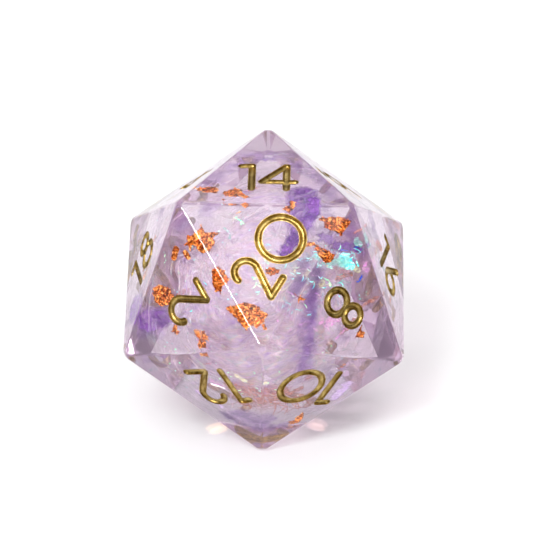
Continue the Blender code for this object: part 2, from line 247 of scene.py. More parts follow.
# Slivers of film by colour, each a ribbon of (depth under the 20 face, half width, path), all
# in millimetres on that face's layer
SLIVERS = {
    "cyan": [
        (3.4, 0.42, (5.35, 0.45), (5.85, 0.35), (6.05, 0.1)),
        (3.4, 0.16, (5.1, 0.8), (5.5, 1.05), (5.75, 0.95)),
        (3.4, 0.05, (2.65, 0.05), (3.4, 0.25), (4.1, 0.7)),
        (3.4, 0.05, (2.8, -0.15), (3.5, 0.1), (4.0, 0.4)),
        (3.4, 0.06, (5.95, 1.3), (6.4, 0.75), (6.75, 0.1)),
        (3.4, 0.05, (4.6, 1.3), (4.85, 1.05), (5.0, 1.1)),
        (3.4, 0.05, (4.4, 0.35), (4.35, 0.05), (4.55, -0.1)),
        (5.2, 0.05, (2.2, -3.4), (3.0, -2.8)),
        (5.2, 0.04, (6.6, -1.5), (6.8, -1.9), (7.05, -2.0)),
        (3.4, 0.04, (3.9, -1.9), (3.85, -2.6)),
    ],
    "teal": [
        (3.8, 0.30, (6.3, 2.2), (6.6, 1.95)),
        (5.2, 0.10, (4.4, -0.9), (5.1, -0.5), (5.8, -0.6)),
        (2.8, 0.10, (-3.1, 2.3), (-2.6, 1.9), (-2.7, 1.5)),
        (7.0, 0.20, (1.5, 0.2), (2.4, 0.5)),
        (13.6, 0.30, (3.0, 2.2), (3.8, 1.5)),
        (16.2, 0.16, (-0.2, 0.8), (0.8, 1.4)),
    ],
    "green": [
        (3.4, 0.08, (3.95, -0.9), (4.35, -1.1), (4.5, -1.5)),
        (1.3, 0.12, (-2.1, 2.85), (-1.85, 2.65), (-1.8, 2.45)),
        (1.3, 0.05, (-1.8, 2.45), (-1.5, 2.3)),
        (2.2, 0.06, (-0.45, -2.0), (0.0, -2.15), (0.1, -2.45)),
        (2.2, 0.05, (-1.1, -1.5), (-0.6, -1.75)),
        (2.2, 0.05, (0.5, -3.1), (0.9, -3.0)),
        (5.2, 0.06, (-6.95, 1.4), (-6.85, 0.9)),
        (5.2, 0.04, (7.3, -1.4), (7.4, -1.9)),
    ],
    "blue": [
        (3.4, 0.12, (6.75, -1.2), (7.05, -1.0), (7.1, -0.75)),
        (4.0, 0.10, (5.0, 1.6), (5.5, 1.55)),
        (4.0, 0.08, (6.0, 1.75), (6.5, 1.85)),
    ],
    "pink": [
        (14.8, 0.28, (-2.2, -2.2), (-1.3, -2.8)),
        (5.2, 0.10, (5.05, -5.1), (5.5, -4.6), (5.95, -4.2)),
        (5.2, 0.16, (3.5, -3.9), (3.75, -3.5)),
        (4.0, 0.08, (3.6, 0.9), (3.9, 0.75)),
        (6.0, 0.25, (-1.6, 0.4), (-1.1, 0.3)),
        (5.2, 0.25, (6.9, 0.9), (7.1, 0.4)),
    ],
    "salmon": [
        (4.2, 0.22, (4.8, -0.6), (5.4, -0.4), (5.9, -0.3)),
        (6.5, 0.16, (6.6, -2.2), (7.4, -1.7), (8.0, -1.4)),
        (4.0, 0.14, (5.9, 2.9), (6.6, 3.2)),
        (9.0, 0.40, (-0.2, -8.0), (1.3, -7.4)),
        (9.0, 0.28, (1.0, -7.7), (2.3, -6.8)),
        (9.0, 0.22, (4.6, -3.4), (5.6, -2.4)),
    ],
    # A painted caustic under the 12 face: a glowing sliver where the casting gathers lamp light
    "cream": [
        (9.0, 0.11, (-3.4, -6.75), (-2.9, -6.9), (-2.4, -7.0)),
    ],
    "yellow": [
        (6.0, 0.30, (2.2, -0.5), (3.2, -0.4)),
        (6.0, 0.22, (5.6, 0.9), (6.3, 0.6)),
        (3.0, 0.12, (2.2, -0.6), (2.3, -1.0)),
        (8.0, 0.25, (-1.2, -5.8), (-0.6, -6.2)),
    ],
}

# Threads of film: colour, how many, middle and reach on the 20 face's layers, depths and
# lengths, all in millimetres
THREADS = [
    ("cyan", 22, (3.8, -0.1), (2.8, 1.8), (2.8, 4.8), (0.2, 0.9)),
    ("green", 16, (2.6, -0.6), (3.4, 2.2), (2.4, 4.6), (0.2, 0.8)),
    ("yellow", 16, (2.4, -0.8), (2.4, 1.6), (3.0, 5.0), (0.3, 0.9)),
    ("pink", 14, (2.8, -2.4), (2.8, 2.2), (3.0, 5.0), (0.3, 1.0)),
    ("pearl", 46, (-4.2, -0.4), (2.0, 2.0), (2.6, 4.6), (0.6, 1.9)),
    ("pearl", 50, (1.2, -0.6), (4.6, 3.2), (2.8, 5.2), (0.4, 1.6)),
    ("cyan", 14, (-2.0, -0.6), (3.6, 3.0), (2.4, 4.8), (0.15, 0.5)),
    ("green", 14, (-0.6, -6.6), (2.2, 1.4), (6.5, 9.0), (0.15, 0.4)),
    ("salmon", 90, (0.3, -7.8), (2.1, 0.7), (8.6, 9.6), (0.8, 2.2)),
]

# Crumbs of copper too small for nodes of their own, as the slivers
CRUMBS = {
    "satellite": (1.1, 0.15, (0.05, -5.5), (0.15, -5.75)),
    "thread": (1.1, 0.05, (-2.15, 3.15), (-1.9, 3.3), (-1.7, 3.25)),
    "pellet": (2.8, 0.24, (-5.55, 0.7), (-5.35, 0.4)),
    "grain": (2.8, 0.26, (-6.35, 1.0), (-6.6, 0.3)),
    "fleck": (1.1, 0.10, (-3.2, 4.0), (-3.15, 3.95)),
    "flint": (1.1, 0.09, (-3.5, -2.75), (-3.4, -2.8)),
    "petal": (14.0, 0.35, (1.8, 2.8), (2.6, 3.5), (3.2, 3.3)),
    "scale": (13.2, 0.30, (-3.4, 1.2), (-4.3, 0.5)),
    "rind": (15.6, 0.28, (0.6, 0.2), (1.4, -0.4), (1.3, -1.0)),
    "grit": (14.6, 0.18, (4.0, -0.8), (4.3, -0.5)),
    "tuft": (16.0, 0.26, (-1.6, 3.2), (-0.9, 3.8)),
    "shaving": (17.2, 0.16, (-2.2, 1.6), (-1.2, 2.0), (-0.7, 1.7)),
}

# Floor, a hair below the die
FLOOR_GAP = 0.02 * MM
FLOOR_HALF_SIZE = 3.0

# Soft lights: name, direction from the die, distance in metres, width, height and watts, and
# the direction that the width runs along
SOFTBOXES = [
    ("overhead", (0.0, -0.45, 0.9), 0.5, 0.35, 0.35, 0.58, (1, 0, 0)),
    ("back", (0.05, 0.6, 0.8), 0.6, 0.4, 0.4, 0.35, (1, 0, 0)),
    ("rim", (0.0, 0.3, 0.95), 0.5, 0.3, 0.05, 0.15, (1, 0, 0)),
    ("key", (-0.38, -0.56, 0.735), 0.52, 0.23, 0.12, 2.1, (0.42, 0, 0.40)),
    ("front", (0.3, -0.85, 0.5), 0.5, 0.6, 0.6, 1.1, (1, 0, 0)),
]

# Beams of light on the floor: place in millimetres, watts and colour
ORANGE = (1.0, 0.6, 0.3)
ROSE = (1.0, 0.6, 0.55)
BEAMS = [
    (-3.45, -4.75, 0.14, ORANGE),
    (-3.75, -4.30, 0.12, ORANGE),
    (4.15, -4.1, 0.11, ROSE),
    (4.35, -3.5, 0.07, ROSE),
]
BEAM_ANGLE = 1.0
BEAM_REACH = 60 * MM
BEAM_WAY = (0.75, -0.5, 0.6)

# Camera
CAMERA_TURN = 0.70
CAMERA_ELEVATION = 31.77
CAMERA_ROLL = 0.65
CAMERA_DISTANCE = 269.5 * MM
CAMERA_TARGET = Vector((0.08, 0, 12.03)) * MM
CAMERA_LENS = 236.8


def polar(centre, radius, degrees):
    angle = math.radians(degrees)
    return (centre[0] + radius * math.cos(angle), centre[1] + radius * math.sin(angle))


def arc(centre, radius, start, end):
    """Points along an arc, both ends included."""
    steps = max(2, round(abs(end - start) / DEGREES_PER_STEP))
    return [polar(centre, radius, start + (end - start) * i / steps) for i in range(steps + 1)]


def ring(centre, radius):
    """A circle, whose last point is its first."""
    points = [polar(centre, radius, 360 * i / RING_STEPS) for i in range(RING_STEPS)]
    return points + points[:1]


def six():
    """A ring with a straight leg that leaves it on the left and leans to the right."""
    centre = (0, -0.85)
    radius = 0.88
    tip = (0.42, 1.76)
    reach = math.hypot(tip[0] - centre[0], tip[1] - centre[1])
    bearing = math.degrees(math.atan2(tip[1] - centre[1], tip[0] - centre[0]))
    tangent = bearing + math.degrees(math.acos(radius / reach))
    return [ring(centre, radius), [tip, polar(centre, radius, tangent)]]


def half_turned(strokes):
    return [[(-x, -y) for x, y in stroke] for stroke in strokes]


DIGITS = {
    "0": [ring((0, 0), 1.68)],
    "1": [[(0, TALL), (0, -TALL)], [(0, TALL), (-0.8, TALL - 0.12)]],
    "2": [
        arc((-0.15, 0.86), 0.88, 168, -33) + [(-0.83, -TALL)],
        [(-0.83, -TALL), (0.88, -TALL)],
    ],
    "3": [arc((0, 0.92), 0.8, 160, -90), arc((0, -0.8), 0.92, 90, -155)],
    "4": [
        [(0.62, TALL), (0.62, -TALL)],
        [(0.62, TALL), (-1.25, -0.68)],
        [(-1.25, -0.68), (1.25, -0.68)],
    ],
    "5": [
        [(-0.6, TALL), (0.75, TALL)],
        [(-0.6, TALL), (-0.7, 0.14)],
        arc((-0.05, -0.7), 1.02, 128, -150),
    ],
    "6": six(),
    "7": [[(-0.95, TALL), (0.95, TALL)], [(0.95, TALL), (-0.35, -TALL)]],
    "8": [ring((0, 1.0), 0.74), ring((0, -0.82), 0.92)],
    "9": half_turned(six()),
}


# Frames


def corner_points():
    corners = {}
    for letters, height, radius, first in RINGS:
        for i, letter in enumerate(letters):
            x, y = polar((0, 0), radius * EDGE, first + 120 * i)
            corners[letter] = Vector((x, y, height * EDGE))
    return corners


CORNERS = corner_points()


def all_faces():
    faces = dict(FACES)
    for number, (up, left, right) in FACES.items():
        faces[21 - number] = "".join(OPPOSITE_CORNER[corner] for corner in (up, right, left))
    return faces


def face_frame(letters):
    up, left, right = (CORNERS[letter] for letter in letters)
    middle = (up + left + right) / 3
    y_axis = (up - middle).normalized()
    z_axis = (left - up).cross(right - up).normalized()
    x_axis = y_axis.cross(z_axis)
    axes = Matrix((x_axis, y_axis, z_axis)).transposed()
    return Matrix.Translation(middle) @ axes.to_4x4()


def face_normals():
    return [face_frame(letters).to_3x3().col[2] for letters in all_faces().values()]


def layer_frame(depth):
    """The frame of a layer below the 20 face: +X stays level, +Y runs up the face."""
    tilt = Matrix.Rotation(FACE_SLOPE, 4, "X")
    rise = Matrix.Translation((0, 0, FACE_TO_FACE / 2 - depth))
    return Matrix.Translation(CENTRE) @ tilt @ rise


NORMALS = face_normals()


# Mesh helpers


def make_object(name, shape, material=None):
    mesh = bpy.data.meshes.new(name)
    shape.to_mesh(mesh)
    shape.free()
    if material:
        mesh.materials.append(material)
    made = bpy.data.objects.new(name, mesh)
    bpy.context.scene.collection.objects.link(made)
    return made


def bake_modifiers(thing):
    """Replaces the mesh by what its modifiers make of it."""
    graph = bpy.context.evaluated_depsgraph_get()
    mesh = bpy.data.meshes.new_from_object(thing.evaluated_get(graph), depsgraph=graph)
    thing.modifiers.clear()
    thing.data = mesh


def combine(target, tools, operation):
    """A Boolean with each tool in turn. The tools are used up."""
    for tool in tools:
        modifier = target.modifiers.new("Combine", "BOOLEAN")
        modifier.operation = operation
        modifier.solver = "MANIFOLD"
        modifier.object = tool
    bake_modifiers(target)
    for tool in tools:
        bpy.data.objects.remove(tool, do_unlink=True)
    return target


def smooth(thing, angle=SMOOTH_ANGLE):
    thing.data.shade_smooth()
    thing.data.set_sharp_from_angle(angle=angle)


def keep(piece, slot, *nodes):
    """The piece goes with the die and stands for those nodes, which are hidden. The slot is not
    used.
    """
    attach(piece, "root")
    if nodes:
        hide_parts(*nodes)
    return piece


# Strokes


def beside(points, distance, closed):
    """The path moved to its left by a distance, with mitred corners."""
    count = len(points)
    moved = []
    for i, point in enumerate(points):
        first = i == 0 and not closed
        last = i == count - 1 and not closed
        leaving = (points[(i + 1) % count] - point).normalized()
        arriving = (point - points[i - 1]).normalized()
        if first:
            arriving = leaving
        if last:
            leaving = arriving
        along = (arriving + leaving).normalized()
        across = Vector((-along.y, along.x))
        slant = max(SHARPEST_MITRE, along.dot(leaving))
        moved.append(point + across * distance / slant)
    return moved


def outline(path, half_width):
    """A loop that far round an open path, with round ends."""

    def round_end(tip, heading):
        start = math.degrees(math.atan2(heading.y, heading.x)) + 90
        turns = [start - 180 * i / CAP_STEPS for i in range(CAP_STEPS + 1)]
        return [Vector(polar(tip, half_width, turn)) for turn in turns]

    left = beside(path, half_width, closed=False)[1:-1]
    right = beside(path, -half_width, closed=False)[1:-1]
    last_way = path[-1] - path[-2]
    first_way = path[0] - path[1]
    return left + round_end(path[-1], last_way) + right[::-1] + round_end(path[0], first_way)


def join_loops(shape, first, second):
    count = len(first)
    for i in range(count):
        j = (i + 1) % count
        shape.faces.new((first[i], first[j], second[j], second[i]))


def loop_of(shape, points, height):
    return [shape.verts.new((point.x, point.y, height)) for point in points]


def bowl(half_width, depth, lip):
    """A rounded channel's section as (height, half width), from its lip down to its floor."""
    section = [(lip, half_width)] if lip > 0 else []
    for i in range(SECTION_STEPS + 1):
        angle = SECTION_SWEEP * i / SECTION_STEPS
        height = -depth * math.sin(angle)
        section.append((min(height, lip), half_width * math.cos(angle)))
    return section


def stroke_solid(name, path, section, matrix):
    """A stroke of a digit as a solid of that section."""
    points = [Vector(place) * MM for place in path]
    shape = bmesh.new()
    if path[0] != path[-1]:
        loops = [loop_of(shape, outline(points, half), z) for z, half in section]
        for upper, lower in zip(loops, loops[1:]):
            join_loops(shape, upper, lower)
        shape.faces.new(loops[0])
        shape.faces.new(loops[-1])
    else:
        circle = points[:-1]
        inner = [loop_of(shape, beside(circle, half, closed=True), z) for z, half in section]
        outer = [loop_of(shape, beside(circle, -half, closed=True), z) for z, half in section]
        around = inner + outer[::-1]
        for i, loop in enumerate(around):
            join_loops(shape, loop, around[(i + 1) % len(around)])
    bmesh.ops.recalc_face_normals(shape, faces=shape.faces)
    solid = make_object(name, shape)
    solid.matrix_world = matrix
    return solid


def solids_of(strokes, section, matrix):
    return [stroke_solid("stroke", path, section, matrix) for path in strokes]


def lining(name, strokes, matrix, material):
    """The gold skin of a digit: all its channels, less the hollow in them."""
    skin = bowl(GROOVE_HALF_WIDTH + LINING_GRIP, GROOVE_DEPTH + LINING_GRIP, -LINING_DROP)
    hollow = bowl(HOLLOW_HALF_WIDTH, HOLLOW_DEPTH, CUTTER_RISE)
    first, *others = solids_of(strokes, skin, Matrix.Identity(4))
    if others:
        combine(first, others, "UNION")
    combine(first, solids_of(strokes, hollow, Matrix.Identity(4)), "DIFFERENCE")
    first.name = name
    first.data.name = name
    first.data.transform(matrix)
    first.data.materials.clear()
    first.data.materials.append(material)
    smooth(first)
    return first


def numeral_parts():
    """Each digit and mark of the die, as (node, strokes, frame)."""
    for number, letters in sorted(all_faces().items()):
        base = face_frame(letters)
        digits = str(number)
        places = DIGIT_PLACES.get(number, (0,))
        words = ("tens", "units") if len(digits) == 2 else ("paint",)
        for digit, place, word in zip(digits, places, words):
            shift = Matrix.Translation((place * MM, RAISED.get(number, 0) * MM, 0))
            yield f"numeral_{number}_{word}", DIGITS[digit], base @ shift
        if number in UNDERLINED:
            yield f"numeral_{number}_underline", [UNDERLINE], base


def make_body(material):
    """The casting, with rounded corners and edges and its grooves cut."""
    shape = bmesh.new()
    for corner in CORNERS.values():
        shape.verts.new(corner)
    bmesh.ops.convex_hull(shape, input=shape.verts[:])
    bmesh.ops.bevel(
        shape, geom=shape.verts[:], offset=CORNER_ROUNDING, segments=1, affect="VERTICES"
    )
    bmesh.ops.bevel(
        shape,
        geom=shape.edges[:],
        offset=EDGE_ROUNDING,
        segments=EDGE_SEGMENTS,
        profile=0.5,
        affect="EDGES",
    )
    bmesh.ops.recalc_face_normals(shape, faces=shape.faces)
    body = make_object("resin_body", shape)
    groove = bowl(GROOVE_HALF_WIDTH, GROOVE_DEPTH, CUTTER_RISE)
    cutters = []
    for _, strokes, matrix in numeral_parts():
        cutters += solids_of(strokes, groove, matrix)
    combine(body, cutters, "DIFFERENCE")
    body.data.materials.clear()
    body.data.materials.append(material)
    smooth(body)
    flat = body.modifiers.new("Flat faces", "WEIGHTED_NORMAL")
    flat.mode = "FACE_AREA"
    flat.weight = 100
    flat.keep_sharp = True
    bake_modifiers(body)
    return body


# Foil and film


class Outline:
    """The outline of a flat CAD piece on its layer, and where it lies."""

    def __init__(self, node):
        self.frame = layer_frame(0)
        to_layer = self.frame.inverted()
        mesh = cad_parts[node].data
        places = [to_layer @ vertex.co for vertex in mesh.vertices]
        faces = [tuple(face.vertices) for face in mesh.polygons]
        self.tree = BVHTree.FromPolygons(places, faces)
        self.low = Vector([min(place[k] for place in places) for k in range(3)])
        self.high = Vector([max(place[k] for place in places) for k in range(3)])
        self.height = (self.low.z + self.high.z) / 2

    def holds(self, x, y):
        above = Vector((x, y, self.high.z + MM))
        return self.tree.ray_cast(above, Vector((0, 0, -1)))[0] is not None


class Patch:
    """An outline given on a layer, in millimetres."""

    def __init__(self, depth, points):
        self.frame = layer_frame(0)
        self.points = [Vector(point) * MM for point in points]
        self.height = -depth * MM
        self.low = Vector([min(point[k] for point in self.points) for k in range(2)])
        self.high = Vector([max(point[k] for point in self.points) for k in range(2)])

    def holds(self, x, y):
        inside = False
        for (x0, y0), (x1, y1) in zip(self.points, self.points[-1:] + self.points[:-1]):
            if (y0 > y) != (y1 > y) and x < (x1 - x0) * (y - y0) / (y1 - y0) + x0:
                inside = not inside
        return inside


def ribbon(depth, half_width, *path):
    """A narrow patch along a path."""
    points = [Vector(point) for point in path]
    return Patch(depth, outline(points, half_width))


def fractal(x, y, seed, size, octaves=3):
    """Smooth noise about 0 over a feature size, with finer octaves on top."""
    place = Vector((x / size, y / size, seed))
    return noise.fractal(place, 1.0, 2.1, octaves)


def rim_fade(shape, rings):
    """How far each vertex lies from the rim, as 0 on it to 1 that many rings inside."""
    fade = {vertex: 1.0 for vertex in shape.verts}
    reached = {vertex for vertex in shape.verts if vertex.is_boundary}
    edge_of_it = set(reached)
    for ring_index in range(rings):
        for vertex in edge_of_it:
            fade[vertex] = ring_index / rings
        around = {edge.other_vert(vertex) for vertex in edge_of_it for edge in vertex.link_edges}
        edge_of_it = around - reached
        reached |= edge_of_it
    return fade


def fill_fade(shape):
    """Marks every vertex as far from a rim."""
    layer = shape.verts.layers.float.new("fade")
    for vertex in shape.verts:
        vertex[layer] = 1.0


def thicken(sheet):
    thick = sheet.modifiers.new("Thickness", "SOLIDIFY")
    thick.thickness = LEAF_THICKNESS
    thick.offset = 0
    bake_modifiers(sheet)


def crumpled_sheet(name, shape_of, seed, kind, material, fade_width=0.2 * MM):
    """A thin ragged sheet over an outline, creased across its surface."""
    ragged, crumple, fold = kind
    step = LEAF_STEP
    low, high = shape_of.low, shape_of.high
    columns = math.ceil((high.x - low.x) / step) + 4
    rows = math.ceil((high.y - low.y) / step) + 4
    shape = bmesh.new()
    grid = {}

    def corner(i, j):
        if (i, j) not in grid:
            x = low.x + (i - 2) * step
            y = low.y + (j - 2) * step
            z = shape_of.height
            z += crumple * fractal(x, y, seed, fold)
            z += crumple * 0.5 * fractal(x, y, seed + 9, fold / 4)
            grid[i, j] = shape.verts.new((x, y, z))
        return grid[i, j]

    for i in range(columns):
        for j in range(rows):
            x = low.x + (i - 1.5) * step
            y = low.y + (j - 1.5) * step
            x += ragged * fractal(x, y, seed + 3, RAG_SIZE, 4)
            y += ragged * fractal(x, y, seed + 5, RAG_SIZE, 4)
            if shape_of.holds(x, y):
                square = ((i, j), (i + 1, j), (i + 1, j + 1), (i, j + 1))
                shape.faces.new([corner(*place) for place in square])
    rim = [vertex for vertex in shape.verts if vertex.is_boundary]
    for _ in range(2):
        bmesh.ops.smooth_vert(shape, verts=rim, factor=0.5, use_axis_x=True, use_axis_y=True)
    layer = shape.verts.layers.float.new("fade")
    for vertex, value in rim_fade(shape, max(1, round(fade_width / step))).items():
        vertex[layer] = value
    sheet = make_object(name, shape, material)
    sheet.data.transform(shape_of.frame)
    thicken(sheet)
    smooth(sheet, LEAF_SMOOTH_ANGLE)
    return sheet


def make_glitter(name, seed, material):
    """Thin hexagonal specks, scattered and turned at random through the core."""
    draw = random.Random(seed)
    shape = bmesh.new()
    for _ in range(SPECKS_PER_COLOUR):
        way = Vector([draw.gauss(0, 1) for _ in range(3)]).normalized()
        inner = draw.uniform(*SPECK_SPAN)
        place = CENTRE + way * veil_radius(way, SPECK_DEPTH, SPECK_REACH) * inner
        axis = Vector([draw.gauss(0, 1) for _ in range(3)]).normalized()
        size = draw.uniform(*SPECK_SIZES)
        turned = Matrix.Translation(place) @ axis.to_track_quat("Z", "Y").to_matrix().to_4x4()
        stretched = turned @ Matrix.Diagonal((size, size * draw.uniform(0.5, 1), LEAF_THICKNESS, 1))
        bmesh.ops.create_cone(
            shape, cap_ends=True, segments=6, radius1=1, radius2=1, depth=1, matrix=stretched
        )
    fill_fade(shape)
    return make_object(name, shape, material)


def make_threads(name, count, seed, middle, reach, depths, lengths, material):
    """Fine curved threads of film, scattered round a place on the 20 face's layers."""
    draw = random.Random(seed)
    base = layer_frame(0)
    shape = bmesh.new()
    for _ in range(count):
        x = middle[0] + draw.uniform(-reach[0], reach[0])
        y = middle[1] + draw.uniform(-reach[1], reach[1])
        place = Vector((x, y, -draw.uniform(*depths)))
        heading = draw.gauss(*THREAD_HEADING)
        bend = draw.gauss(*THREAD_BEND)
        step = draw.uniform(*lengths) / THREAD_STEPS
        half_width = draw.uniform(*THREAD_HALF_WIDTHS)
        rows = []
        for i in range(THREAD_STEPS + 1):
            along = Vector((math.cos(heading), math.sin(heading), 0))
            across = Vector((-along.y, along.x, 0))
            across *= half_width * math.sin(math.pi * (i + 0.5) / (THREAD_STEPS + 1))
            sides = (place + across, place - across)
            rows.append([shape.verts.new(base @ (side * MM)) for side in sides])
            place += along * step + Vector((0, 0, draw.gauss(0, THREAD_RISE)))
            heading += bend
        for (left, right), (next_left, next_right) in zip(rows, rows[1:]):
            shape.faces.new((left, next_left, next_right, right))
    fill_fade(shape)
    threads = make_object(name, shape, material)
    thicken(threads)
    return threads


def veil_radius(way, depth, reach):
    """How far a veil lies from the middle: that deep under the faces, and round at the corners."""
    slope = max(way.dot(normal) for normal in NORMALS)
    return min((FACE_TO_FACE / 2 - depth) / slope, reach)


def make_veil(name, depth, reach, seed, material):
    """A closed crumpled skin of pearly film, under the whole surface of the casting."""
    shape = bmesh.new()
    bmesh.ops.create_icosphere(shape, subdivisions=6, radius=1)
    for vertex in shape.verts:
        way = vertex.co.normalized()
        place = way * veil_radius(way, depth, reach)
        ripple = noise.fractal(place / VEIL_FOLD + Vector((seed, 0, 0)), 1.0, 2.1, 4)
        crease = 1 - 2 * abs(noise.noise(place / (VEIL_FOLD * 0.6) + Vector((0, seed, 0))))
        vertex.co = CENTRE + place + way * VEIL_CRUMPLE * (ripple + 0.5 * crease)
    veil = make_object(name, shape, material)
    veil.data.shade_smooth()
    veil.visible_shadow = False
    return veil


# Materials


def start_material(name):
    material = bpy.data.materials.new(name)
    material.use_nodes = True
    tree = material.node_tree
    return material, tree, tree.nodes["Principled BSDF"]


def millimetres(tree):
    """Coordinates on the piece, in millimetres."""
    place = tree.nodes.new("ShaderNodeTexCoord")
    scale = tree.nodes.new("ShaderNodeVectorMath")
    scale.operation = "SCALE"
    scale.inputs["Scale"].default_value = 1 / MM
    tree.links.new(place.outputs["Object"], scale.inputs[0])
    return scale.outputs[0]


def noise_value(tree, place, scale, detail=4, roughness=0.6, distortion=0.0):
    texture = tree.nodes.new("ShaderNodeTexNoise")
    texture.inputs["Scale"].default_value = scale
    texture.inputs["Detail"].default_value = detail
    texture.inputs["Roughness"].default_value = roughness
    texture.inputs["Distortion"].default_value = distortion
    tree.links.new(place, texture.inputs["Vector"])
    return texture.outputs["Fac"]


def ramp(tree, value, stops):
    """Colours along a value, each stop as (position, colour)."""
    node = tree.nodes.new("ShaderNodeValToRGB")
    elements = node.color_ramp.elements
    while len(elements) < len(stops):
        elements.new(0.5)
    for element, (position, colour) in zip(elements, stops):
        element.position = position
        element.color = (*colour, 1)
    tree.links.new(value, node.inputs["Fac"])
    return node.outputs["Color"]


def spread(tree, value, low, high, start=0.3, end=0.7):
    """A value stretched from start..end to low..high."""
    node = tree.nodes.new("ShaderNodeMapRange")
    node.inputs["From Min"].default_value = start
    node.inputs["From Max"].default_value = end
    node.inputs["To Min"].default_value = low
    node.inputs["To Max"].default_value = high
    tree.links.new(value, node.inputs["Value"])
    return node.outputs["Result"]


def bump(tree, shader, value, distance, strength=1.0):
    node = tree.nodes.new("ShaderNodeBump")
    node.inputs["Strength"].default_value = strength
    node.inputs["Distance"].default_value = distance
    tree.links.new(value, node.inputs["Height"])
    tree.links.new(node.outputs["Normal"], shader.inputs["Normal"])


def resin_material():
    """Clear, faintly lilac resin. Lamps shine through it, so that what it holds is lit."""
    material, tree, shader = start_material("clear_resin")
    shader.inputs["Base Color"].default_value = (0.975, 0.955, 0.985, 1)
    shader.inputs["Roughness"].default_value = 0.0
    shader.inputs["IOR"].default_value = 1.5
    shader.inputs["Transmission Weight"].default_value = 1.0
    lamp = tree.nodes.new("ShaderNodeBsdfTransparent")
    lamp.inputs["Color"].default_value = (0.76, 0.70, 0.72, 1)
    path = tree.nodes.new("ShaderNodeLightPath")
    mix = tree.nodes.new("ShaderNodeMixShader")
    output = tree.nodes["Material Output"]
    tree.links.new(path.outputs["Is Shadow Ray"], mix.inputs["Fac"])
    tree.links.new(shader.outputs["BSDF"], mix.inputs[1])
    tree.links.new(lamp.outputs["BSDF"], mix.inputs[2])
    tree.links.new(mix.outputs["Shader"], output.inputs["Surface"])
    cloud = tree.nodes.new("ShaderNodeVolumeScatter")
    cloud.inputs["Color"].default_value = (0.95, 0.78, 1.0, 1)
    cloud.inputs["Density"].default_value = 17
    cloud.inputs["Anisotropy"].default_value = 0.3
    stain = tree.nodes.new("ShaderNodeVolumeAbsorption")
    stain.inputs["Color"].default_value = (0.66, 0.39, 0.66, 1)
    stain.inputs["Density"].default_value = 30
    both = tree.nodes.new("ShaderNodeAddShader")
    tree.links.new(cloud.outputs["Volume"], both.inputs[0])
    tree.links.new(stain.outputs["Volume"], both.inputs[1])
    tree.links.new(both.outputs["Shader"], output.inputs["Volume"])
    return material


def gold_material():
    """Metallic paint brushed into the grooves: uneven in tone, with a fine grain."""
    material, tree, shader = start_material("gold_paint")
    place = millimetres(tree)
    tone = noise_value(tree, place, 1.4, distortion=0.6)
    colour = ramp(tree, tone, [
        (0.32, (0.15, 0.09, 0.018)), (0.50, (0.34, 0.23, 0.065)), (0.70, (0.60, 0.45, 0.17)),
    ])
    tree.links.new(colour, shader.inputs["Base Color"])
    shader.inputs["Metallic"].default_value = 1.0
    grain = noise_value(tree, place, 9.0, detail=6)
    tree.links.new(spread(tree, grain, 0.22, 0.38), shader.inputs["Roughness"])
    bump(tree, shader, grain, 0.03 * MM, 0.6)
    return material


def copper_material():
    """Crumpled copper leaf: bright facets and brown creases in its colour, and painted glints,
    where its brightest facets give off light of their own.
    """
    material, tree, shader = start_material("copper_foil")
    place = millimetres(tree)
    facets = tree.nodes.new("ShaderNodeTexVoronoi")
    facets.inputs["Scale"].default_value = 9.5
    tree.links.new(place, facets.inputs["Vector"])
    split = tree.nodes.new("ShaderNodeSeparateColor")
    tree.links.new(facets.outputs["Color"], split.inputs["Color"])
    cloud = noise_value(tree, place, 3.0, detail=5, roughness=0.8)
    cloudy = spread(tree, cloud, 0, 0.5, 0.35, 0.65)
    tone = plus(tree, cloudy, spread(tree, split.outputs["Red"], 0, 0.5, 0, 1))
    colour = ramp(tree, tone, [
        (0.22, (0.08, 0.01, 0.001)), (0.42, (0.62, 0.15, 0.015)), (0.62, (0.98, 0.35, 0.05)),
        (0.80, (1.0, 0.74, 0.30)),
    ])
    tree.links.new(colour, shader.inputs["Base Color"])
    # Painted glint: the brightest tones also give off light, standing in for lamps caught by the
    # foil
    painted_glint = ramp(tree, tone, [
        (0.35, (0.01, 0.002, 0.0)), (0.60, (0.14, 0.035, 0.0)), (0.78, (1.0, 0.52, 0.14)),
    ])
    tree.links.new(painted_glint, shader.inputs["Emission Color"])
    shader.inputs["Emission Strength"].default_value = 0.65
    shader.inputs["Metallic"].default_value = 1.0
    grain = noise_value(tree, place, 10.0, detail=6, roughness=0.7)
    tree.links.new(spread(tree, grain, 0.15, 0.40), shader.inputs["Roughness"])
    bump(tree, shader, grain, 0.09 * MM)
    return material


def streaks(tree, place, turn, stretch, scale, detail=5, distortion=0.8):
    """Noise drawn out along one direction, as swirled resin and creased film show."""
    mapping = tree.nodes.new("ShaderNodeMapping")
    mapping.inputs["Rotation"].default_value = turn
    mapping.inputs["Scale"].default_value = (1, stretch, stretch)
    tree.links.new(place, mapping.inputs["Vector"])
    return noise_value(tree, mapping.outputs[0], scale, detail, 0.62, distortion)


def times(tree, first, second):
    node = tree.nodes.new("ShaderNodeMath")
    node.operation = "MULTIPLY"
    tree.links.new(first, node.inputs[0])
    tree.links.new(second, node.inputs[1])
    return node.outputs[0]


def plus(tree, first, second):
    node = tree.nodes.new("ShaderNodeMath")
    node.operation = "ADD"
    node.use_clamp = True
    tree.links.new(first, node.inputs[0])
    tree.links.new(second, node.inputs[1])
    return node.outputs[0]


def fade_value(tree, end):
    """0 at a sheet's rim, rising to 1 inside it."""
    node = tree.nodes.new("ShaderNodeAttribute")
    node.attribute_name = "fade"
    return spread(tree, node.outputs["Fac"], 0, 1, 0, end)


